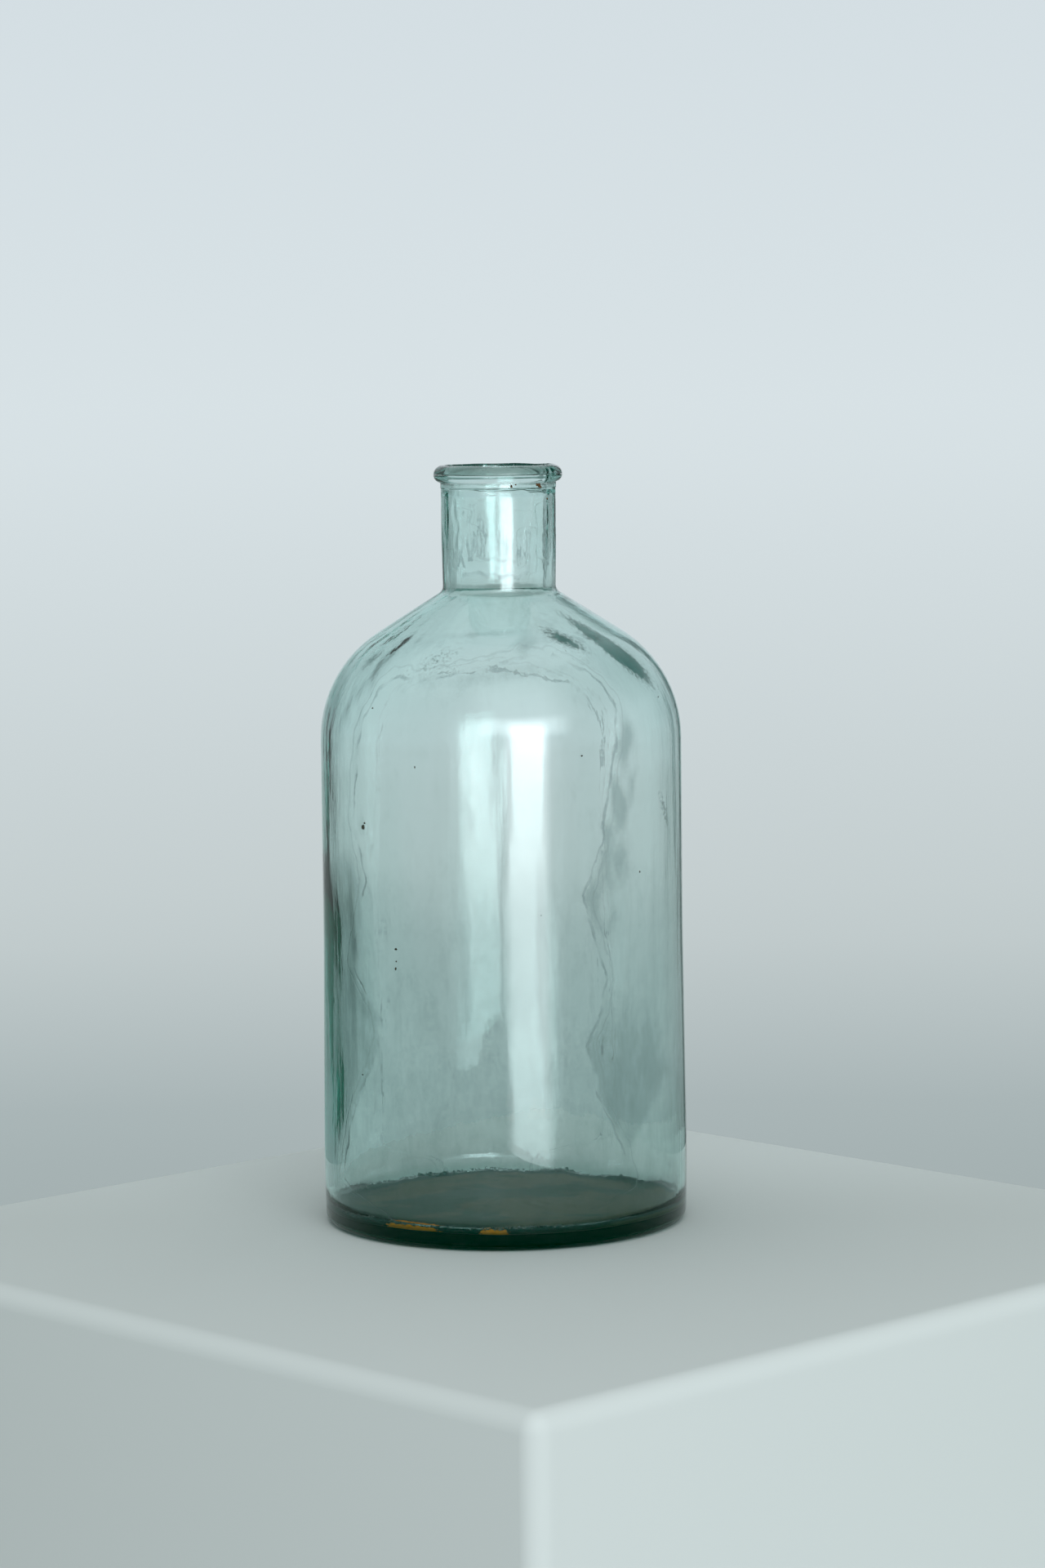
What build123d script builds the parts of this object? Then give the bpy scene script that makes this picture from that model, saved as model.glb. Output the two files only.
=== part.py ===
from build123d import *
import math
import os

# A glass carboy of about ten litres: one seamless piece of glass, round about the Z axis.
# Millimetres. Z = 0 is the surface that it stands on, and the origin is under its centre.
# Every profile point below is (radius, height), and the whole profile is turned once about Z.

# Outside of the body
wall_radius = 104.45
wall_base_height = 175.0  # below this the body widens gently towards its foot
foot_radius = 105.9
foot_height = 42.0
heel_radius = 5.5
heel_body_radius = 105.3

# Standing ring and the shallow push-up inside it
ring_inner_radius = 88.0
push_up_height = 6.0

# Shoulder: an arc that runs into a straight cone up to the neck
shoulder_height = 281.8
shoulder_arc_radius = 72.0
cone_slope = 32.3  # degrees below level

# Neck and lip
neck_radius = 33.15
neck_root_radius = 32.6
neck_straight_from = 396.0
neck_fillet = 4.5
collar_radius = 33.45  # faint step that the lip tool leaves below the lip
collar_height = 425.6
overall_height = 439.0
lip_radius = 37.4
lip_widest_height = 433.3
lip_under_arc = 4.6
lip_crown_arc = overall_height - lip_widest_height

# Inside
wall_thickness = 4.0
bore_radius = 29.0
bore_top_height = 434.5
foot_wall_thickness = 4.6
floor_edge_height = 8.6
floor_rise = 4.4
floor_corner_radius = 9.0
throat_fillet = 8.0


def shoulder_end(arc_radius):
    """Where the shoulder arc of this radius meets the cone above it."""
    slope = math.radians(cone_slope)
    centre_radius = wall_radius - shoulder_arc_radius
    return (
        centre_radius + arc_radius * math.sin(slope),
        shoulder_height + arc_radius * math.cos(slope),
    )


def shoulder_arc(arc_radius):
    """The shoulder arc, from the top of the wall to the cone."""
    centre = (wall_radius - shoulder_arc_radius, shoulder_height)
    return CenterArc(centre, arc_radius, 0, 90 - cone_slope)


def on_cone(arc_end, radius):
    """The point of the cone above arc_end that lies at this radius."""
    rise = (arc_end[0] - radius) * math.tan(math.radians(cone_slope))
    return (radius, arc_end[1] + rise)


def outside_lines():
    """From the middle of the underside, round the body and the lip, to the crown of the lip."""
    heel_top = (heel_body_radius, heel_radius)
    wall_base = (wall_radius, wall_base_height)
    arc_end = shoulder_end(shoulder_arc_radius)
    neck_root = on_cone(arc_end, neck_root_radius)
    neck_middle = (neck_radius, neck_straight_from)
    neck_top = (neck_radius, collar_height)
    collar_foot = (collar_radius, collar_height)
    collar_top = (collar_radius, lip_widest_height - lip_under_drop())
    under_centre = (lip_radius - lip_under_arc, lip_widest_height)
    crown_centre = (lip_radius - lip_crown_arc, lip_widest_height)
    ring_outer = (heel_body_radius - heel_radius, 0)
    return [
        TangentArc((0, push_up_height), (ring_inner_radius, 0), tangent=(1, 0)),
        Line((ring_inner_radius, 0), ring_outer),
        CenterArc((ring_outer[0], heel_radius), heel_radius, -90, 90),
        Spline(heel_top, (foot_radius, foot_height), wall_base, tangents=[(0, 1), (0, 1)]),
        Line(wall_base, (wall_radius, shoulder_height)),
        shoulder_arc(shoulder_arc_radius),
        Line(arc_end, neck_root),
        Line(neck_root, neck_middle),
        Line(neck_middle, neck_top),
        Line(neck_top, collar_foot),
        Line(collar_foot, collar_top),
        CenterArc(under_centre, lip_under_arc, -under_arc_angle(), under_arc_angle()),
        CenterArc(crown_centre, lip_crown_arc, 0, 90),
    ]


def under_arc_angle():
    """Degrees of the lip's lower arc, from its widest circle down to the collar."""
    run = collar_radius - (lip_radius - lip_under_arc)
    return math.degrees(math.acos(run / lip_under_arc))


def lip_under_drop():
    """How far the lip's underside meets the collar below the widest circle."""
    return lip_under_arc * math.sin(math.radians(under_arc_angle()))


def inside_lines():
    """From the crown of the lip, down the bore, shoulder and wall, to the middle of the floor."""
    inner_arc = shoulder_arc_radius - wall_thickness
    arc_end = shoulder_end(inner_arc)
    throat = on_cone(arc_end, bore_radius)
    inner_wall = wall_radius - wall_thickness
    inner_foot = foot_radius - foot_wall_thickness
    crown = (lip_radius - lip_crown_arc, overall_height)
    mouth = (bore_radius, bore_top_height)
    floor_middle = (0, floor_edge_height + floor_rise)
    return [
        TangentArc(mouth, crown, tangent=(0, 1)),
        Line(mouth, throat),
        Line(throat, arc_end),
        shoulder_arc(inner_arc),
        Line((inner_wall, shoulder_height), (inner_wall, wall_base_height)),
        Line((inner_wall, wall_base_height), (inner_foot, foot_height)),
        Line((inner_foot, foot_height), (inner_foot, floor_edge_height)),
        TangentArc(floor_middle, (inner_foot, floor_edge_height), tangent=(1, 0)),
        Line(floor_middle, (0, push_up_height)),
    ]


def rounded(profile, point, radius):
    """The profile with the corner nearest this point rounded."""
    corner = profile.vertices().sort_by_distance((point[0], point[1], 0))[0]
    return fillet(corner, radius)


def glass_vessel():
    """The whole vessel: base, wall, shoulder, neck and lip are one piece of blown glass."""
    profile = make_face(outside_lines() + inside_lines())
    neck_root = on_cone(shoulder_end(shoulder_arc_radius), neck_root_radius)
    throat = on_cone(shoulder_end(shoulder_arc_radius - wall_thickness), bore_radius)
    floor_corner = (foot_radius - foot_wall_thickness, floor_edge_height)
    profile = rounded(profile, neck_root, neck_fillet)
    profile = rounded(profile, throat, throat_fillet)
    profile = rounded(profile, floor_corner, floor_corner_radius)
    return revolve(Plane.XZ * profile, Axis.Z, 360)


os.makedirs("parts", exist_ok=True)
export_step(glass_vessel(), "parts/glass_vessel.step")
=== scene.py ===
import math

import bmesh
import bpy
import numpy as np
from mathutils import Euler, Matrix


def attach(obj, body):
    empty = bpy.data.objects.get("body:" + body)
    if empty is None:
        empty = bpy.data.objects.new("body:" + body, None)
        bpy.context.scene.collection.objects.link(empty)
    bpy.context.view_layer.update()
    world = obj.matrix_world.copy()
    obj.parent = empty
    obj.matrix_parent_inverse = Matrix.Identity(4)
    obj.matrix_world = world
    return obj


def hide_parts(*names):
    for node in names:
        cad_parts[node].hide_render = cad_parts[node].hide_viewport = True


# An old aqua glass carboy, blown in a mould and finished by hand. Metres, Z up, with the vessel's
# axis on Z and the camera on the -Y side. Points of its profile are (radius, height) in millimetres.
# Azimuth 0 faces the camera, and 90 degrees is on the camera's right.

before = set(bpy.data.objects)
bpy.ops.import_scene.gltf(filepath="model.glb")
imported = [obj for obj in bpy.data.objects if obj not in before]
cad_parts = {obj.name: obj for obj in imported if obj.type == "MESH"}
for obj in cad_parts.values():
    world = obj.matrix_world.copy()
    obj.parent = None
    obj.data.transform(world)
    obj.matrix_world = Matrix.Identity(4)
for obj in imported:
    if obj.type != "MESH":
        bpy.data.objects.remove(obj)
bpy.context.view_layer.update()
MM = 0.001
SEED = 41  # each pattern below adds a number of its own to this

# Outside, as in the CAD part
RING_INNER, PUSH_UP = 88.0, 6.0
HEEL = (105.3, 5.5)  # radius of the body at its heel, and the heel's own rounding
FOOT = (105.9, 42.0)
WALL, WALL_BASE = 104.45, 175.0
SHOULDER_HEIGHT, SHOULDER_ARC, CONE_SLOPE = 281.8, 72.0, 32.3
NECK, NECK_ROOT, NECK_MIDDLE, NECK_FILLET = 33.15, 32.6, 396.0, 4.5
COLLAR, COLLAR_HEIGHT = 33.45, 425.6
LIP, LIP_UNDER, LIP_TOP = 37.4, 428.7, 439.0

# Inside, with the even wall of the CAD part
WALL_THICKNESS, FOOT_THICKNESS = 4.0, 4.6
BORE, THROAT_FILLET = 29.0, 8.0
FLOOR_EDGE, FLOOR_RISE, FLOOR_CORNER = 8.6, 4.4, 9.0

AROUND = 276  # faces round the vessel
MM_PER_DEGREE = math.tau * WALL / 360  # round the wall
NECK_FROM = 372.0  # height above which the inside is the neck's
THINNEST = 1.3  # glass
NO_FOLD = 50.0  # distance to a fold, on surfaces that have none
NO_SEDIMENT = -20.0  # depth inside the sediment, on surfaces that have none


# ---------------------------------------------------------------- profile

def corner_height(radius, arc_radius):
    """Height where the wall at this radius would meet the cone, for a rounding of arc_radius."""
    return SHOULDER_HEIGHT + arc_radius * math.tan(math.radians(90 - CONE_SLOPE) / 2)


def on_cone(corner, radius):
    """Height of the cone that starts at this corner, at this radius."""
    return corner[1] + (corner[0] - radius) * math.tan(math.radians(CONE_SLOPE))


def rounded_path(corners, spacing):
    """Points along straight runs joined by tangent arcs. A corner is (radius, height, rounding)."""
    pts = [np.array(c[:2], float) for c in corners]
    out = [pts[0]]
    for i in range(1, len(pts) - 1):
        before, here, after = pts[i - 1], pts[i], pts[i + 1]
        a, b = before - here, after - here
        a, b = a / np.linalg.norm(a), b / np.linalg.norm(b)
        half = math.acos(np.clip(a @ b, -1, 1)) / 2
        rounding = corners[i][2]
        if rounding == 0 or half > math.radians(89.9):
            out.extend(run(out[-1], here, spacing))
            continue
        reach = rounding / math.tan(half)
        start, end = here + a * reach, here + b * reach
        centre = here + (a + b) / np.linalg.norm(a + b) * rounding / math.sin(half)
        out.extend(run(out[-1], start, spacing))
        out.extend(arc(centre, start, end, rounding, spacing))
    out.extend(run(out[-1], pts[-1], spacing))
    return np.array(out)


def run(start, end, spacing):
    """Points of a straight run, without its start."""
    length = np.linalg.norm(np.subtract(end, start))
    if length < 1e-6:
        return []
    count = max(1, math.ceil(length / spacing))
    return [start + (end - start) * k / count for k in range(1, count + 1)]


def arc(centre, start, end, radius, spacing):
    """Points of the shorter arc from start to end, without its start."""
    a = math.atan2(*(start - centre)[::-1])
    b = math.atan2(*(end - centre)[::-1])
    turn = (b - a + math.pi) % math.tau - math.pi
    count = max(4, math.ceil(abs(turn) * radius / spacing))
    angles = [a + turn * k / count for k in range(1, count + 1)]
    return [centre + radius * np.array([math.cos(t), math.sin(t)]) for t in angles]


def outside_profile():
    """From near the middle of the underside to the foot of the collar under the lip."""
    corner = (WALL, corner_height(WALL, SHOULDER_ARC))
    radii = np.linspace(0.4, RING_INNER, 11)
    under = [(r, PUSH_UP * (1 - (r / RING_INNER) ** 2)) for r in radii]
    body = rounded_path([
        (RING_INNER, 0, 0),
        (HEEL[0], 0, HEEL[1]),
        (FOOT[0], FOOT[1], 900),
        (WALL, WALL_BASE, 3000),
        (*corner, SHOULDER_ARC),
        (NECK_ROOT, on_cone(corner, NECK_ROOT), NECK_FILLET),
        (NECK, NECK_MIDDLE, 300),
        (NECK, COLLAR_HEIGHT, 0),
    ], 6.0)
    return np.vstack([under[:-1], body])


def lip_profile():
    """The collar, the rounded lip and the start of the bore."""
    return rounded_path([
        (COLLAR, COLLAR_HEIGHT + 0.25, 0),
        (COLLAR, LIP_UNDER, 0.4),
        (LIP, LIP_UNDER, 4.6),
        (LIP, LIP_TOP, LIP_TOP - LIP_UNDER - 4.61),
        (BORE + 1.6, LIP_TOP, 1.1),
        (BORE, LIP_TOP - 10, 8),
        (BORE, LIP_TOP - 13, 0),
    ], 1.0)


def inside_profile():
    """From the bore, down the shoulder and the wall, to near the middle of the floor."""
    wall = WALL - WALL_THICKNESS
    corner = (wall, corner_height(wall, SHOULDER_ARC - WALL_THICKNESS))
    foot = FOOT[0] - FOOT_THICKNESS
    upper = rounded_path([
        (BORE, LIP_TOP - 13, 0),
        (BORE, on_cone(corner, BORE), THROAT_FILLET),
        (*corner, SHOULDER_ARC - WALL_THICKNESS),
        (wall, SHOULDER_HEIGHT - 2, 0),
    ], 1.8)
    lower = rounded_path([
        (wall, SHOULDER_HEIGHT - 2, 0),
        (wall, WALL_BASE, 0),
        (foot, FOOT[1], 0),
        (foot, FLOOR_EDGE, FLOOR_CORNER),
        (foot - FLOOR_CORNER - 2, FLOOR_EDGE, 0),
    ], 3.6)
    edge = lower[-1][0]
    radii = np.linspace(edge, 0.4, 26)
    floor = [(r, FLOOR_EDGE + FLOOR_RISE * (1 - (r / edge) ** 2)) for r in radii]
    return np.vstack([upper[1:], lower[1:], floor[1:]])


def profile_normals(profile):
    """Unit normals of the profile, pointing out of the glass."""
    along = np.gradient(profile, axis=0)
    along /= np.linalg.norm(along, axis=1)[:, None]
    return np.stack([along[:, 1], -along[:, 0]], axis=1)


# ---------------------------------------------------------------- uneven glass

def waves(azimuth, height, seed, count, around, upright):
    """Smooth seeded waves over the wall, within about -1 to 1. around: lowest and highest number of
    waves round the vessel. upright: lowest and highest number per metre of height."""
    rng = np.random.default_rng(SEED + seed)
    total = np.zeros_like(azimuth)
    for _ in range(count):
        turns = rng.integers(around[0], around[1] + 1)
        rate = rng.uniform(*upright) * rng.choice([-1, 1]) * math.tau * MM
        total += np.cos(turns * azimuth + rate * height + rng.uniform(0, math.tau))
    return total / math.sqrt(count / 2) / 2


def smooth(x):
    """0 below 0, 1 above 1, and a smooth step between."""
    x = np.clip(x, 0, 1)
    return x * x * (3 - 2 * x)


def lump(azimuth, height, at, size, tilt=0.0):
    """A smooth bump of height 1. at: (degrees, mm). size: half widths in mm, along and across."""
    u = wrap(azimuth - math.radians(at[0])) * WALL
    v = height - at[1]
    cosine, sine = math.cos(math.radians(tilt)), math.sin(math.radians(tilt))
    along_it, across_it = cosine * u + sine * v, -sine * u + cosine * v
    return np.exp(-((along_it / size[0]) ** 2) - (across_it / size[1]) ** 2)


def wrap(angle):
    """The same angle between -180 and 180 degrees, in radians."""
    return (angle + math.pi) % math.tau - math.pi


# The thinly blown front panel, as seen from the camera's side. Its right and left edges are
# (height, degrees round), and its top edge is (degrees round, height).
PANEL_RIGHT = ((20, 46), (55, 39.5), (84, 31), (115, 27), (131, 32), (151, 34.5), (176, 30),
               (198, 26), (225, 32), (262, 36), (298, 40), (330, 44))
PANEL_LEFT = ((20, -66), (70, -58), (109, -45), (128, -43), (158, -58), (206, -49), (242, -55),
              (289, -51.5), (318, -47))
PANEL_TOP = ((-70, 262), (-54, 307), (-48, 318), (-40, 322), (-30, 319), (-14, 325), (-1, 328),
             (9, 332), (25, 330), (34, 322), (42, 309), (52, 280))

# Upright creases inside the neck: degrees round, and the heights that they run between
NECK_CREASES = ((-46, 381, 413), (-33, 384, 404), (33, 378, 402), (-70, 392, 420), (58, 386, 416),
                (150, 380, 410), (205, 384, 415))

# Crumbs of dirt: degrees round, height and size in mm, and the side of the wall that they are on
CRUMBS = ((44, 427.4, 2.7, "outside"), (41.2, 428.0, 1.9, "outside"), (46.5, 426.4, 1.7, "outside"),
          (13, 427.2, 1.7, "outside"), (17.5, 428.2, 1.1, "outside"), (57, 419.5, 1.2, "outside"),
          (-36.4, 169.5, 1.6, "inside"), (-36.6, 158.3, 1.6, "inside"), (-36.3, 162.5, 0.9, "inside"),
          (26, 278.5, 1.1, "inside"), (-28.2, 273, 1.1, "inside"), (-50, 237, 2.4, "inside"),
          (-49.2, 239.4, 1.7, "inside"), (49, 210, 1.0, "inside"), (-52, 95, 1.1, "inside"),
          (12, 190, 0.9, "inside"), (-47, 304, 1.1, "inside"), (66, 306, 1.2, "inside"))


def along(points, at):
    """The value at this place on a line given as (place, value) points."""
    places, values = zip(*points)
    return np.interp(at, places, values)


def front_panel(azimuth, height):
    """Signed distance in mm to the edge of the front panel, negative inside it."""
    turn = np.degrees(wrap(azimuth))
    wander = 1.3 * waves(azimuth, height, 11, 24, (14, 60), (20, 80))
    sides = (
        (turn - along(PANEL_RIGHT, height)) * MM_PER_DEGREE,
        (along(PANEL_LEFT, height) - turn) * MM_PER_DEGREE,
        height - along(PANEL_TOP, turn),
    )
    blend = 5.0
    return blend * np.log(sum(np.exp(np.clip(d / blend, -40, 40)) for d in sides)) + wander


def back_panel(azimuth, height):
    """The same on the far side, where the panel is a plain arch with a wandering edge."""
    middle, half_width, top, bend = 186, 80, 315, 50
    aside = np.abs(wrap(azimuth - math.radians(middle))) * WALL
    past_corner = np.stack(np.broadcast_arrays(aside - half_width + bend, height - top + bend))
    outside = np.linalg.norm(np.maximum(past_corner, 0), axis=0)
    inside = np.minimum(np.max(past_corner, axis=0), 0)
    wander = 6 * waves(azimuth, height, 20, 8, (2, 9), (2, 9))
    jag = 1.2 * waves(azimuth, height, 21, 24, (14, 50), (20, 80))
    return outside + inside - bend + wander + jag


def neck_creases(azimuth, height):
    """Distance in mm to the nearest crease inside the neck: the upright ones, and a wavy line round
    the throat on the camera's side."""
    turn = np.degrees(wrap(azimuth))
    throat = 376.5 + 1.3 * waves(azimuth, 0, 35, 16, (3, 24), (0, 1))
    nearest = 0.6 * np.abs(height - throat) + 30 * smooth((np.abs(turn + 6) - 38) / 10)
    for i, (at, low, high) in enumerate(NECK_CREASES):
        sway = waves(np.zeros(1), height, 36 + i, 10, (0, 0), (10, 70))
        beyond = 20 * smooth((low - height) / 4) + 20 * smooth((height - high) / 6)
        across = np.abs(wrap(azimuth - math.radians(at))) * BORE
        nearest = np.minimum(nearest, np.abs(across - 1.2 * sway - 1.2) + beyond)
    return nearest


def fold_distance(azimuth, height):
    """Distance in mm to the nearest fold or edge left in the inner surface, signed on the body."""
    if height > NECK_FROM:
        return neck_creases(azimuth, height)
    above_floor = 50 * smooth((34 - height) / 20)
    return np.minimum(front_panel(azimuth, height), back_panel(azimuth, height)) + above_floor


def wall_thickness(azimuth, height):
    """Thickness of the glass in mm: heavier at the left, at the belly's front, low at the back and in
    the shoulder, thinner inside the front panel, with a raised fold along the panel's edge."""
    left = np.maximum(np.cos(azimuth + math.pi / 2), 0)
    front = np.maximum(np.cos(azimuth), 0)
    back = np.maximum(-np.cos(azimuth), 0)
    belly = smooth((226 - height) / 110) - 0.3 * smooth((95 - height) / 70)
    thick = 2.5 + 1.1 * left ** 2 + 1.7 * smooth(front / 0.75) * belly
    thick += 1.2 * back * smooth((285 - height) / 240)
    thick += 2.9 * left ** 7 * smooth((216 - height) / 52)
    shoulder = smooth((height - 262) / 52)
    step = (0.25 + 0.5 * shoulder) * smooth(front_panel(azimuth, height) / 34 + 0.1)
    thick += 0.75 * shoulder + np.where(np.cos(azimuth) > 0, step, 0.25 + 0.5 * shoulder)
    wrinkle = 0.5 + 0.5 * waves(azimuth, height, 14, 14, (5, 30), (10, 50))
    edge = np.exp(-(fold_distance(azimuth, height) / 2.4) ** 2) * np.maximum(np.cos(azimuth), 0)
    thick += 0.09 * edge * np.maximum(wrinkle, 0)
    thick += 0.5 * lump(azimuth, height, (58, 330), (30, 14), -43)
    ripples = (
        0.20 * waves(azimuth, height, 1, 18, (3, 16), (1, 7))
        + 0.10 * waves(azimuth, height, 2, 26, (14, 44), (0, 6))
        + 0.035 * waves(azimuth, height, 3, 30, (40, 90), (0, 18))
    )
    ripples *= (1 - 0.6 * shoulder) * (0.4 + 0.6 * np.abs(np.cos(azimuth)))
    return np.maximum(thick + ripples, THINNEST)


def inside_offset(azimuth, profile_point):
    """How far in mm the inner surface stands off its even profile, along the normal."""
    radius, height = profile_point
    if radius < FOOT[0] - FOOT_THICKNESS - 1 and height < 20:
        return floor_ripples(azimuth, radius)
    side = np.cos(azimuth + math.pi / 2)
    to_neck = smooth((height - 336) / 40)
    in_body = smooth((height - 10) / 80) * (1 - to_neck)
    in_neck = to_neck * (1 - smooth((height - 424) / 9))
    nominal = FOOT_THICKNESS - (FOOT_THICKNESS - WALL_THICKNESS) * smooth((height - 42) / 133)
    neck = 0.4 * side + 0.4 + neck_ripples(azimuth, height)
    body = wall_thickness(azimuth, height) - nominal
    return in_neck * neck + in_body * body


def neck_ripples(azimuth, height):
    """Drawn, streaky glass inside the neck, with its creases."""
    crease = neck_creases(azimuth, height)
    return (
        0.30 * waves(azimuth, height, 30, 14, (1, 5), (2, 16))
        + 0.16 * waves(azimuth, height, 31, 22, (6, 18), (1, 12))
        + 0.03 * waves(azimuth, height, 32, 26, (18, 44), (4, 60))
        - 0.13 * np.exp(-(crease / 1.2) ** 2)
    )


def floor_ripples(azimuth, radius):
    """Low swirls of the floor, fading to nothing at its middle."""
    spread = smooth(radius / 40)
    return spread * (
        0.5 * waves(azimuth, np.full_like(azimuth, radius), 40, 10, (1, 5), (4, 14))
        + 0.12 * waves(azimuth, np.full_like(azimuth, radius), 41, 20, (5, 26), (8, 40))
    )


def lip_offset(azimuth, height):
    """The lip was laid on and smoothed by hand: a little fuller here and there, with one lap."""
    on_lip = smooth((height - 427.5) / 2)
    level = np.full_like(azimuth, height)
    lap = 0.35 * lump(azimuth, np.zeros_like(azimuth), (56, 0), (5, 1e3))
    return on_lip * (0.16 * waves(azimuth, level, 50, 10, (2, 9), (0, 20)) - 0.25 - lap)


# ---------------------------------------------------------------- dried residue, and painted dark patches

def film_cover(azimuth, height):
    """Thin dried film on the inner surface, 0 to 1, before its streaks: beside the front panel's
    right edge, in a wedge below it, left of its left edge, and a haze that thickens downwards."""
    turn = np.degrees(wrap(azimuth))
    jag = 2.2 * waves(azimuth, height, 70, 24, (10, 60), (10, 70))
    patchy = np.clip(0.62 + 0.5 * waves(azimuth, height, 71, 24, (10, 50), (6, 36)), 0, 1.1)
    right = (turn - along(PANEL_RIGHT, height)) * MM_PER_DEGREE + jag
    left = (along(PANEL_LEFT, height) - turn) * MM_PER_DEGREE + jag
    strip = smooth(right / 6 + 0.5) * smooth((28 - right) / 16) * rise_fall(height, 178, 296, 26)
    strip *= patchy
    wedge_foot = 50 + np.abs(turn - 43) * MM_PER_DEGREE
    wedge = smooth(right / 3 + 0.5) * smooth((height - wedge_foot) / 9) * smooth((146 - height) / 36)
    wedge *= smooth((70 - turn) / 16)
    beside = smooth(left / 3 + 0.5) * smooth((turn + 78) / 12)
    beside *= rise_fall(height, 66, 165, 26) + 0.6 * rise_fall(height, 180, 300, 30)
    smudges = (
        0.9 * lump(azimuth, height, (-56, 168), (5, 8))
        + 0.7 * lump(azimuth, height, (-50, 238), (3, 6))
        + 0.8 * lump(azimuth, height, (39, 217), (13, 15))
        + 0.7 * lump(azimuth, height, (11, 337), (11, 4), 20)
        + 0.4 * lump(azimuth, height, (0, 322), (60, 5), 4)
        + 0.6 * lump(azimuth, height, (-8, 343.5), (42, 1.6), 2)
    )
    haze = 0.22 * smooth((250 - height) / 170) * smooth((height - 8) / 10)
    patches = np.maximum.reduce([strip, 0.55 * wedge, 0.42 * beside, smudges])
    return np.clip(patches + haze, 0, 1)


def painted_dark_patches(azimuth, height):
    """Painted shade: dark patches in the shoulder and the wall, where the thick glass refracts a dark
    view. 1 or more is the full colour.
    """
    return (
        2.4 * lump(azimuth, height, (55.5, 332), (24, 7.8), -43)
        + 1.25 * lump(azimuth, height, (31, 339.5), (18, 4.6), -18)
        + 1.1 * lump(azimuth, height, (-61, 328.5), (10, 5), 33)
        + 0.55 * lump(azimuth, height, (-26, 330), (24, 8), 15)
        + 0.85 * lump(azimuth, height, (63.5, 242), (16, 3.4), -64)
        + 0.5 * lump(azimuth, height, (142, 326), (26, 6), 20)
        + 0.4 * lump(azimuth, height, (205, 318), (20, 5), -10)
    )


def rise_fall(x, low, high, soft):
    """1 between low and high, and 0 outside them, over a soft margin."""
    return smooth((x - low) / soft + 0.5) * smooth((high - x) / soft + 0.5)


def sediment_depth(azimuth, radius, height):
    """How far in mm a point lies inside the dried sediment, which covers the floor and its corner,
    and climbs a little on the camera's side."""
    turn = np.degrees(wrap(azimuth))
    shore = 10.4 + 0.6 * waves(azimuth, height, 60, 12, (2, 20), (0, 4))
    shore += 3.2 * smooth((128 - np.abs(turn)) / 40) - smooth((np.abs(turn) - 120) / 30)
    right = smooth((turn - 8) / 50) * smooth((150 - turn) / 30)
    steeper = 1 + 2.2 * right  # the sediment's edge, with its green band of painted shade, is narrower at the right
    return (shore - height + 0.5 * np.maximum(92 - radius, 0)) * steeper


def rust_cover(azimuth, radius, height):
    """Orange crust, 0 to 1, in the corner of the floor on the camera's side."""
    turn = np.degrees(wrap(azimuth))
    ring = smooth((radius - 90) / 4) * smooth((13.5 - height) / 3)
    return ring * (1.2 * rise_fall(turn, -43, -22, 12) + 1.2 * rise_fall(turn, -9, 1, 7))


# ---------------------------------------------------------------- the vessel

def build_vessel():
    """One closed mesh: outside, lip and inside, as one piece of glass."""
    outer, lip, inner = outside_profile(), lip_profile(), inside_profile()
    profile = np.vstack([outer, lip, inner])
    normals = profile_normals(profile)
    azimuth = np.arange(AROUND) / AROUND * math.tau
    first_inner = len(outer) + len(lip)
    rings = []
    marks = {}
    for i, (point, normal) in enumerate(zip(profile, normals)):
        is_inner = i >= first_inner
        if is_inner:
            offset = inside_offset(azimuth, point)
        elif i >= len(outer):
            offset = lip_offset(azimuth, point[1])
        else:
            offset = np.zeros(AROUND)
        radius = (point[0] + offset * normal[0]) * MM
        height = (point[1] + offset * normal[1]) * MM
        rings.append(np.stack([radius * np.sin(azimuth), -radius * np.cos(azimuth), height], axis=1))
        for name, value in surface_marks(azimuth, point, is_inner).items():
            marks.setdefault(name, []).append(np.broadcast_to(value, AROUND))
    verts = np.vstack(rings)
    poles = np.array([[0, 0, PUSH_UP * MM], [0, 0, (FLOOR_EDGE + FLOOR_RISE) * MM]])
    faces = ring_faces(len(profile), len(verts))
    mesh = bpy.data.meshes.new("glass_vessel_blown")
    mesh.from_pydata(np.vstack([verts, poles]).tolist(), [], faces)
    mesh.update()
    for name, rows in marks.items():
        values = np.concatenate(rows + [rows[0][:1], rows[-1][:1]]).astype(np.float32)
        mesh.attributes.new(name, "FLOAT", "POINT").data.foreach_set("value", values)
    mesh.shade_smooth()
    vessel = bpy.data.objects.new("glass_vessel_blown", mesh)
    bpy.context.scene.collection.objects.link(vessel)
    return vessel


def surface_marks(azimuth, point, is_inner):
    """What the material reads at one ring of the surface. Folds, residue and the painted dark patches
    are inside only; the lip's rim carries painted shade.
    """
    radius, height = point
    marks = {"inside": float(is_inner), "level": height, "fold": NO_FOLD, "film": 0.0, "dark": 0.0,
             "sediment": NO_SEDIMENT, "rust": 0.0}
    if is_inner:
        marks["sediment"] = sediment_depth(azimuth, radius, height)
    # on the lip's rim the sediment mark carries painted shade: a dark line on the crown
    elif height > 430 and radius < LIP - 2.8:
        marks["sediment"] = rim_painted_shade(azimuth, height)
    if is_inner and (radius > 60 or height > 100):
        marks["fold"] = fold_distance(azimuth, height)
        marks["film"] = film_cover(azimuth, height)
        # painted shade: dark patches where the thick shoulder glass refracts a dark view
        marks["dark"] = painted_dark_patches(azimuth, height)
    if is_inner and height < 40:
        marks["rust"] = rust_cover(azimuth, radius, height)
    return marks


def rim_painted_shade(azimuth, height):
    """Painted shade on the top and the inside of the lip, heaviest on the far side: a dark line in
    place of the dark reflection on the lip's crown.
    """
    return 0.1 - np.cos(azimuth) - 1.3 * max(LIP_TOP - 2 - height, 0)


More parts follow.
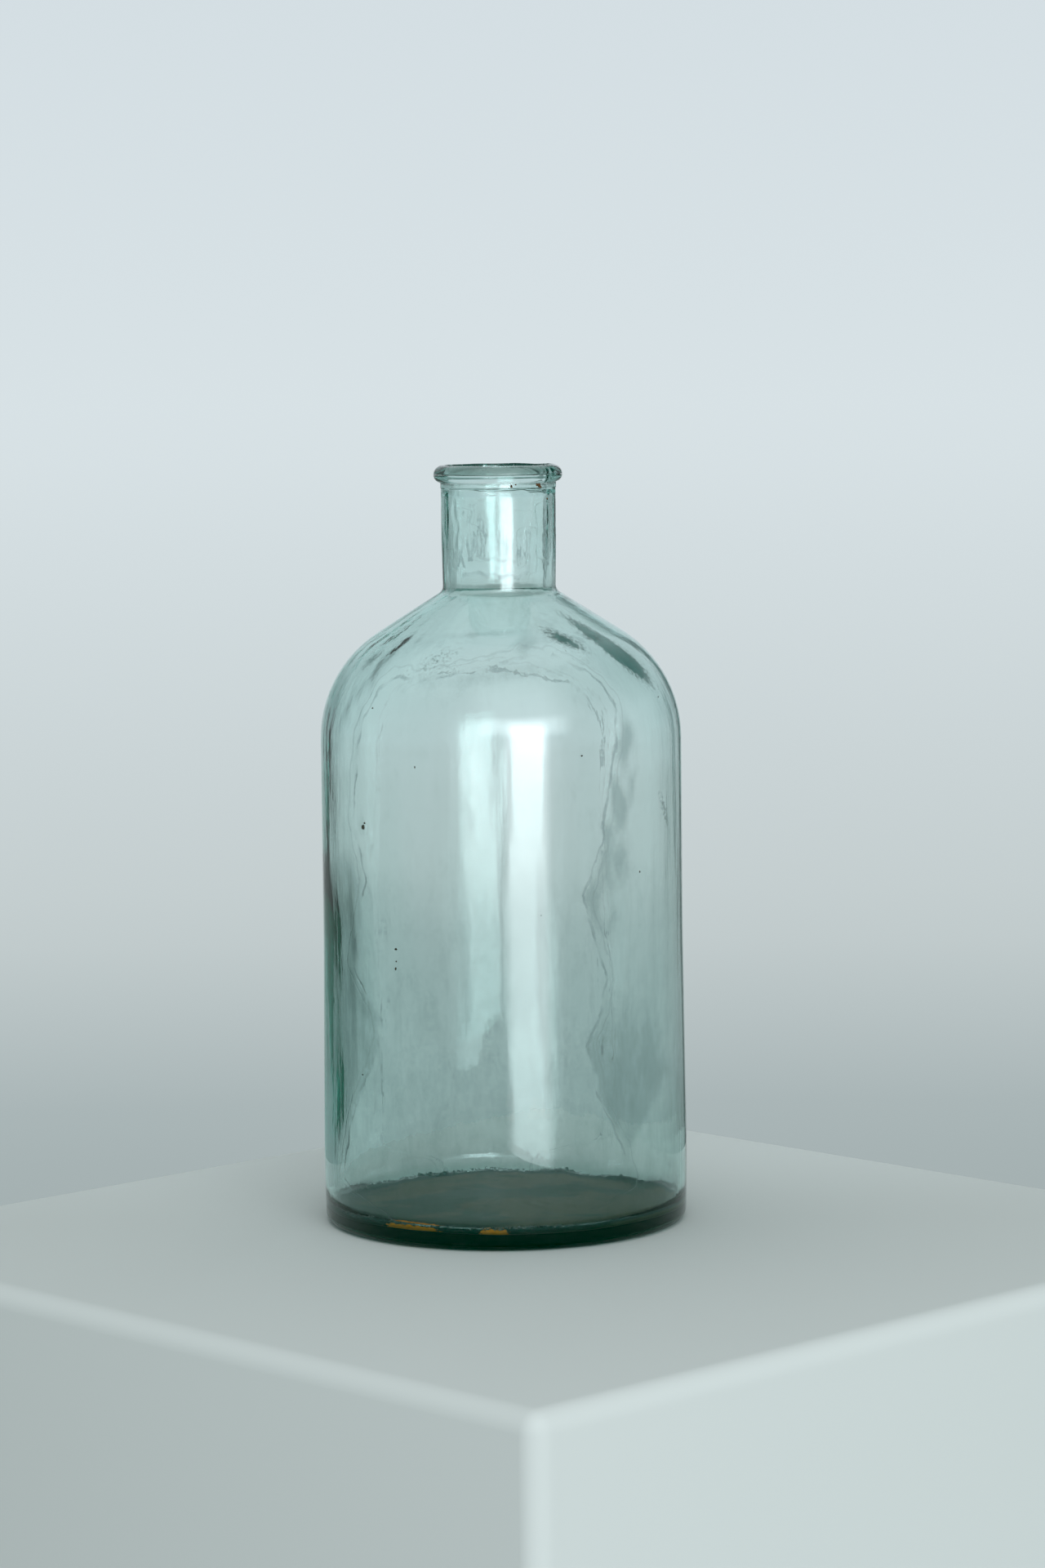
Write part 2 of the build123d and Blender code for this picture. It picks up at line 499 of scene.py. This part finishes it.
def ring_faces(rings, first_pole):
    """Quads between rings of AROUND points, and triangles to the two poles. Normals point out."""
    faces = []
    for i in range(rings - 1):
        a, b = i * AROUND, (i + 1) * AROUND
        for j in range(AROUND):
            k = (j + 1) % AROUND
            faces.append((a + j, a + k, b + k, b + j))
    last = (rings - 1) * AROUND
    for j in range(AROUND):
        k = (j + 1) % AROUND
        faces.append((first_pole, k, j))
        faces.append((first_pole + 1, last + j, last + k))
    return faces


def add_crumbs():
    """Crumbs of dirt: under the lip, and stuck to the inside of the wall."""
    radii, heights = outside_profile().T
    rng = np.random.default_rng(SEED + 90)
    mesh = bmesh.new()
    for turn, height, size, side in CRUMBS:
        azimuth = math.radians(turn)
        gap = 0.15 * size
        if side == "inside":
            gap = -gap - float(wall_thickness(np.array([azimuth]), height)[0])
        radius = float(np.interp(height, heights, radii)) + gap
        place = (radius * math.sin(azimuth) * MM, -radius * math.cos(azimuth) * MM, height * MM)
        lump_verts = bmesh.ops.create_icosphere(mesh, subdivisions=2, radius=0.5)["verts"]
        for vert in lump_verts:
            vert.co *= rng.uniform(0.72, 1.12)
        squash = Matrix.Diagonal((rng.uniform(0.7, 1.2), 0.6, rng.uniform(0.7, 1.3), 1))
        turn_to_wall = Matrix.Translation(place) @ Matrix.Rotation(azimuth, 4, "Z")
        bmesh.ops.transform(mesh, verts=lump_verts,
                            matrix=turn_to_wall @ Matrix.Scale(size * MM, 4) @ squash)
    data = bpy.data.meshes.new("dried_residue_crumbs")
    mesh.to_mesh(data)
    mesh.free()
    data.shade_smooth()
    crumbs = bpy.data.objects.new("dried_residue_crumbs", data)
    bpy.context.scene.collection.objects.link(crumbs)
    data.materials.append(residue_material())
    return crumbs


# ---------------------------------------------------------------- node helpers

def new_material(name):
    """A new material, its nodes and its main shader."""
    mat = bpy.data.materials.new(name)
    mat.use_nodes = True
    return mat, mat.node_tree, mat.node_tree.nodes["Principled BSDF"]


def add_bump(tree, shader, relief, strength, distance):
    """Fine relief on the surface, distance metres high."""
    bump = tree.nodes.new("ShaderNodeBump")
    bump.inputs["Strength"].default_value = strength
    bump.inputs["Distance"].default_value = distance
    tree.links.new(relief, bump.inputs["Height"])
    tree.links.new(bump.outputs["Normal"], shader.inputs["Normal"])


def math_node(tree, operation, a, b=None, c=None, clamp=False):
    """A Math node. Its values are sockets or numbers."""
    node = tree.nodes.new("ShaderNodeMath")
    node.operation = operation
    node.use_clamp = clamp
    for socket, value in zip(node.inputs, (a, b, c)):
        if value is None:
            continue
        if hasattr(value, "is_output"):
            tree.links.new(value, socket)
        else:
            socket.default_value = value
    return node.outputs[0]


def product(tree, first, *factors):
    """All of these multiplied together. Each is a socket or a number."""
    for factor in factors:
        first = math_node(tree, "MULTIPLY", first, factor)
    return first


def map_range(tree, value, low, high, out_low=0.0, out_high=1.0):
    """A smooth step from out_low to out_high, while the value goes from low to high."""
    node = tree.nodes.new("ShaderNodeMapRange")
    node.interpolation_type = "SMOOTHSTEP"
    tree.links.new(value, node.inputs["Value"])
    node.inputs["From Min"].default_value = low
    node.inputs["From Max"].default_value = high
    node.inputs["To Min"].default_value = out_low
    node.inputs["To Max"].default_value = out_high
    return node.outputs["Result"]


def angle_range(tree, angle, low, high, out_low=0.0, out_high=1.0):
    """The same for an angle, with low and high in degrees."""
    return map_range(tree, angle, math.radians(low), math.radians(high), out_low, out_high)


def map_linear(tree, value, low, high):
    """0 at low and 1 at high, in a straight line."""
    node = tree.nodes.new("ShaderNodeMapRange")
    tree.links.new(value, node.inputs["Value"])
    node.inputs["From Min"].default_value = low
    node.inputs["From Max"].default_value = high
    return node.outputs["Result"]


def fill_ramp(ramp, stops):
    """Give a colour ramp these stops, each a position and a linear colour."""
    elements = ramp.color_ramp.elements
    while len(elements) > 1:
        elements.remove(elements[-1])
    elements[0].position, elements[0].color = stops[0][0], (*stops[0][1], 1)
    for position, colour in stops[1:]:
        elements.new(position).color = (*colour, 1)


def soft_band(tree, angle, middle, half, soft):
    """1 within half of middle, in degrees, falling to 0 over soft."""
    off = math_node(tree, "ABSOLUTE", math_node(tree, "SUBTRACT", angle, math.radians(middle)))
    return angle_range(tree, off, half - soft / 2, half + soft / 2, 1.0, 0.0)


def spread(tree, value, pattern, amount):
    """The value, moved up and down by a noise pattern that is 0.5 on average."""
    return math_node(tree, "MULTIPLY_ADD", math_node(tree, "SUBTRACT", pattern, 0.5), amount, value)


def attribute(tree, name):
    """A mark that the surface carries, as a number."""
    node = tree.nodes.new("ShaderNodeAttribute")
    node.attribute_name = name
    return node.outputs["Fac"]


def stretched(tree, place, upright):
    """Coordinates squeezed along Z, so that a pattern in them is drawn out upwards."""
    node = tree.nodes.new("ShaderNodeMapping")
    node.inputs["Scale"].default_value = (1, 1, upright)
    tree.links.new(place, node.inputs["Vector"])
    return node.outputs["Vector"]


def noise(tree, place, scale, detail, roughness):
    """A noise pattern, 0.5 on average, with scale in features per metre."""
    node = tree.nodes.new("ShaderNodeTexNoise")
    node.inputs["Scale"].default_value = scale
    node.inputs["Detail"].default_value = detail
    node.inputs["Roughness"].default_value = roughness
    tree.links.new(place, node.inputs["Vector"])
    return node.outputs["Fac"]


def fold_line(tree, distance, at, half_width):
    """1 on a thin line where the distance is at this value."""
    off = math_node(tree, "ABSOLUTE", math_node(tree, "SUBTRACT", distance, at))
    return map_range(tree, off, half_width * 0.4, half_width * 1.6, 1.0, 0.0)


def mix_colour(tree, factor, a, b):
    """Colour a where the factor is 0, and b where it is 1. Each is a socket or a linear colour."""
    node = tree.nodes.new("ShaderNodeMix")
    node.data_type = "RGBA"
    tree.links.new(factor, node.inputs["Factor"])
    for name, value in (("A", a), ("B", b)):
        socket = next(s for s in node.inputs if s.name == name and s.type == "RGBA")
        if hasattr(value, "is_output"):
            tree.links.new(value, socket)
        else:
            socket.default_value = (*value, 1)
    return next(s for s in node.outputs if s.type == "RGBA")


# ---------------------------------------------------------------- materials

def residue_material():
    """Dry brown dirt, nearly black in its hollows."""
    mat, tree, shader = new_material("dried_residue_brown")
    place = tree.nodes.new("ShaderNodeTexCoord").outputs["Object"]
    shade = noise(tree, place, 1400, 3, 0.6)
    hollow, raised = (0.012, 0.009, 0.006), (0.16, 0.06, 0.02)
    colour = mix_colour(tree, map_range(tree, shade, 0.35, 0.65), hollow, raised)
    tree.links.new(colour, shader.inputs["Base Color"])
    shader.inputs["Roughness"].default_value = 0.85
    add_bump(tree, shader, shade, 0.6, 0.0002)
    return mat


def glass_material():
    """Aqua glass that takes its colour from its depth, with dried film, sediment and rust inside, and
    painted shade: dark patches in the shoulder, at the sediment's edge and on the lip's rim.
    """
    mat, tree, shader = new_material("aqua_glass_blown")
    shader.inputs["IOR"].default_value = 1.52
    depth = tree.nodes.new("ShaderNodeVolumeAbsorption")
    depth.inputs["Color"].default_value = (0.25, 0.70, 0.635, 1)
    depth.inputs["Density"].default_value = 60
    tree.links.new(depth.outputs["Volume"], tree.nodes["Material Output"].inputs["Volume"])

    # patterns in the glass, and the marks that its surface carries
    place = tree.nodes.new("ShaderNodeTexCoord").outputs["Object"]
    streaks = noise(tree, stretched(tree, place, 0.42), 95, 7, 0.66)
    grain = noise(tree, place, 900, 4, 0.6)
    jagged = noise(tree, place, 420, 4, 0.7)
    cloud = noise(tree, place, 46, 3, 0.5)
    patch = noise(tree, place, 17, 4, 0.6)
    inside = attribute(tree, "inside")

    # a broken line on each fold, and a faint one beside it
    fold = spread(tree, attribute(tree, "fold"), jagged, 2.2)
    broken = map_range(tree, cloud, 0.40, 0.62)
    line = product(tree, fold_line(tree, fold, 0.0, 0.8), broken)
    echo = product(tree, fold_line(tree, fold, 5.5, 0.5), 0.35)
    line = product(tree, math_node(tree, "MAXIMUM", line, echo), inside, 0.75)

    film = spread(tree, spread(tree, attribute(tree, "film"), streaks, 1.15), grain, 0.3)
    film = product(tree, map_range(tree, film, 0.0, 1.0), inside)
    # painted shade: dark patches in the shoulder and the wall, where the thick glass refracts a dark
    # view
    dark = spread(tree, attribute(tree, "dark"), jagged, 2.0)
    dark = map_range(tree, dark, 0.3, 1.1)

    shore = spread(tree, attribute(tree, "sediment"), jagged, 6.0)
    sediment = map_range(tree, shore, -0.3, 0.5)
    rust = map_range(tree, spread(tree, attribute(tree, "rust"), jagged, 1.6), 0.55, 0.8)

    # linear colours
    clean, filmed, folded = (1, 1, 1), (0.46, 0.50, 0.50), (0.34, 0.36, 0.38)
    # the near-black green of the dark patches is painted shade
    painted_patch_shade, rusty = (0.002, 0.030, 0.024), (1.0, 0.30, 0.010)
    green_mud, brown_mud = (0.016, 0.050, 0.024), (0.098, 0.090, 0.044)
    # the near-black green at the sediment's edge and on the lip's rim is painted shade
    edge_painted_shade = (0.003, 0.034, 0.026)
    colour = mix_colour(tree, film, clean, filmed)
    colour = mix_colour(tree, line, colour, folded)
    colour = mix_colour(tree, dark, colour, painted_patch_shade)
    mud = mix_colour(tree, map_range(tree, patch, 0.42, 0.58), green_mud, brown_mud)
    # painted shade: the mud turns near-black green near the sediment's edge, in the floor's corner
    # under the vessel's contact shadow, and on the lip's rim
    mud = mix_colour(tree, map_range(tree, shore, 2.0, 8.0), edge_painted_shade, mud)
    colour = mix_colour(tree, sediment, colour, mud)
    colour = mix_colour(tree, rust, colour, rusty)
    tree.links.new(colour, shader.inputs["Base Color"])

    # the residue, and the painted shade on the lip's rim, block the light that the glass would let
    # through
    clear = math_node(tree, "SUBTRACT", 1.0, product(tree, film, 0.05))
    clear = math_node(tree, "SUBTRACT", clear, product(tree, line, 0.15))
    clear = math_node(tree, "SUBTRACT", clear, product(tree, sediment, 0.72))
    clear = math_node(tree, "SUBTRACT", clear, rust, clamp=True)
    tree.links.new(clear, shader.inputs["Transmission Weight"])

    crusted = map_range(tree, shore, 0.3, 1.6)
    rough = product(tree, math_node(tree, "MAXIMUM", crusted, rust), 0.6)
    tree.links.new(rough, shader.inputs["Roughness"])

    # the finest unevenness, stronger in the neck
    in_neck = map_range(tree, attribute(tree, "level"), 366, 384, 0.35, 1.5)
    mottle = product(tree, noise(tree, stretched(tree, place, 0.5), 210, 2, 0.5), in_neck)
    drawn = noise(tree, stretched(tree, place, 0.08), 120, 3, 0.5)
    relief = product(tree, math_node(tree, "ADD", drawn, mottle), inside)
    relief = math_node(tree, "ADD", relief, product(tree, line, 0.5))
    add_bump(tree, shader, relief, 1.0, 0.00012)
    return mat


def plinth_material():
    """Pale cloth with a painted gradient of light: a little darker at the corner towards the camera
    and lighter at the far corner, where the cloth catches more light.
    """
    mat, tree, shader = new_material("pale_linen")
    place = tree.nodes.new("ShaderNodeTexCoord").outputs["Object"]
    split = tree.nodes.new("ShaderNodeSeparateXYZ")
    tree.links.new(place, split.inputs[0])
    corner_to_corner = math_node(tree, "ADD", split.outputs["X"], split.outputs["Y"])
    # painted light: the cloth's colour brightens from the near corner to the far one
    near, far = (0.53, 0.545, 0.525), (0.61, 0.63, 0.61)
    colour = mix_colour(tree, map_range(tree, corner_to_corner, 0.02, 0.42), near, far)
    tree.links.new(colour, shader.inputs["Base Color"])
    shader.inputs["Roughness"].default_value = 0.9
    shader.inputs["Specular IOR Level"].default_value = 0.1
    return mat


# ---------------------------------------------------------------- surroundings

def add_plinth():
    """A plain pale block for the vessel to stand on, set cornerwise. Its top is at Z = 0."""
    side, depth, turn = 0.61, 0.8, 44.0
    mesh = bpy.data.meshes.new("plinth")
    h = side / 2
    corners = [(-h, -h), (h, -h), (h, h), (-h, h)]
    verts = [(x, y, z) for z in (-depth, 0) for x, y in corners]
    faces = [(3, 2, 1, 0), (4, 5, 6, 7), (0, 1, 5, 4), (1, 2, 6, 5), (2, 3, 7, 6), (3, 0, 4, 7)]
    mesh.from_pydata(verts, [], faces)
    plinth = bpy.data.objects.new("plinth", mesh)
    plinth.rotation_euler = (0, 0, math.radians(turn))
    plinth.location = (0.02, -0.05, 0)
    bpy.context.scene.collection.objects.link(plinth)
    bevel = plinth.modifiers.new("soft_edges", "BEVEL")
    bevel.width = 0.012
    bevel.segments = 5
    mesh.shade_smooth()
    mesh.materials.append(plinth_material())


def add_world():
    """A pale room by direction: light walls, darker low down and paler overhead, and one tall soft
    window on the camera's side, to its right."""
    world = bpy.data.worlds.new("pale_room")
    bpy.context.scene.world = world
    world.use_nodes = True
    tree = world.node_tree
    coordinate = tree.nodes.new("ShaderNodeTexCoord")
    split = tree.nodes.new("ShaderNodeSeparateXYZ")
    tree.links.new(coordinate.outputs["Generated"], split.inputs[0])
    x, y, z = split.outputs
    height = math_node(tree, "ARCSINE", z)
    room = room_strength(tree, x, y, height)
    strength = math_node(tree, "ADD", room, window_strength(tree, x, y, height))
    background = tree.nodes["Background"]
    tree.links.new(room_colour(tree, height), background.inputs["Color"])
    tree.links.new(strength, background.inputs["Strength"])


def room_colour(tree, height):
    """The room's colour by degrees above the horizon."""
    stops = (
        (-90, (0.30, 0.34, 0.34)),
        (-14, (0.34, 0.39, 0.39)),
        (-10, (0.40, 0.46, 0.47)),
        (-7.5, (0.55, 0.61, 0.62)),
        (-1, (0.69, 0.76, 0.79)),
        (6, (0.66, 0.73, 0.77)),
        (30, (0.64, 0.71, 0.74)),
        (90, (0.90, 0.97, 0.98)),
    )
    ramp = tree.nodes.new("ShaderNodeValToRGB")
    scaled = map_linear(tree, height, math.radians(-90), math.radians(90))
    tree.links.new(scaled, ramp.inputs["Fac"])
    fill_ramp(ramp, [((degrees + 90) / 180, colour) for degrees, colour in stops])
    return ramp.outputs["Color"]


def room_strength(tree, x, y, height):
    """The room's brightness: most straight behind the vessel and least on the camera's side, with
    darker walls to both sides, a dark upright strip at the right, and a dark upper right."""
    from_back = math_node(tree, "ARCTAN2", x, y)
    off_back = math_node(tree, "ABSOLUTE", from_back)
    aside = product(tree, angle_range(tree, off_back, 7.5, 24, 0.0, 0.45),
                    angle_range(tree, height, 5, 18, 1.0, 0.0),
                    angle_range(tree, off_back, 42, 75, 1.0, 0.5))
    strip = soft_band(tree, from_back, 18.5, 3.5, 3.0)
    upper_right = product(tree, map_range(tree, x, 0.35, 0.75, 0.0, 0.75),
                          angle_range(tree, height, 12, 36))
    return product(tree, math_node(tree, "SUBTRACT", 1.0, aside),
                   map_range(tree, y, -0.9, 0.3, 0.7, 1.0),
                   math_node(tree, "MULTIPLY_ADD", strip, -0.72, 1.0, clamp=True),
                   math_node(tree, "SUBTRACT", 1.0, upper_right))


def window_strength(tree, x, y, height):
    """What the window adds: itself, dimmer at its foot, a glow round it, the light over it, and a
    brighter stretch near its top."""
    azimuth = math_node(tree, "ARCTAN2", x, product(tree, y, -1.0))
    pane = product(tree, angle_range(tree, height, -9.5, -3.0, 6.4, 10.0),
                   angle_range(tree, height, 13, 28, 1.0, 0.0),
                   angle_range(tree, height, -16, -12.5))
    window = product(tree, soft_band(tree, azimuth, 16.0, 12.6, 8.0), pane)
    glow = product(tree, soft_band(tree, azimuth, 22.0, 15.0, 10.0), pane, 0.16)
    above = product(tree, soft_band(tree, azimuth, 14.0, 34.0, 40.0),
                    angle_range(tree, height, 14, 30),
                    angle_range(tree, height, 26, 80, 1.8, 0.0))
    flare = product(tree, soft_band(tree, azimuth, 16.0, 26.0, 18.0),
                    angle_range(tree, height, 8, 15, 0.0, 4.0),
                    angle_range(tree, height, 21, 29, 1.0, 0.0))
    total = math_node(tree, "ADD", window, glow)
    total = math_node(tree, "ADD", total, above)
    return math_node(tree, "ADD", total, flare)


def add_camera():
    """A long lens, a little higher than the vessel's top, looking slightly down and rolled."""
    distance, height = 2.513, 0.5043
    pitch, yaw, roll = 5.69, 0.277, -0.63  # degrees: down, to the right, and about the line of sight
    data = bpy.data.cameras.new("camera")
    data.lens = 100
    data.sensor_width = 36
    data.clip_start, data.clip_end = 0.05, 60
    camera = bpy.data.objects.new("camera", data)
    camera.location = (0, -distance, height)
    aim = Euler((math.radians(90 - pitch), 0, math.radians(-yaw)), "XYZ").to_matrix()
    camera.rotation_euler = (aim @ Euler((0, 0, math.radians(roll)), "XYZ").to_matrix()).to_euler()
    bpy.context.scene.collection.objects.link(camera)
    bpy.context.scene.camera = camera


def set_look():
    """Plain display colours, and enough bounces for light that runs along inside the wall."""
    scene = bpy.context.scene
    scene.view_settings.view_transform = "Standard"
    scene.view_settings.use_curve_mapping = True
    scene.view_settings.curve_mapping.black_level = (0.015, 0.007, 0.012)
    scene.view_settings.curve_mapping.update()
    scene.cycles.max_bounces = 32
    scene.cycles.transmission_bounces = 32
    scene.cycles.glossy_bounces = 16


add_camera()
add_world()
add_plinth()
set_look()
vessel = build_vessel()
vessel.data.materials.append(glass_material())
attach(vessel, "root")
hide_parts("glass_vessel")

crumbs = add_crumbs()
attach(crumbs, "root")
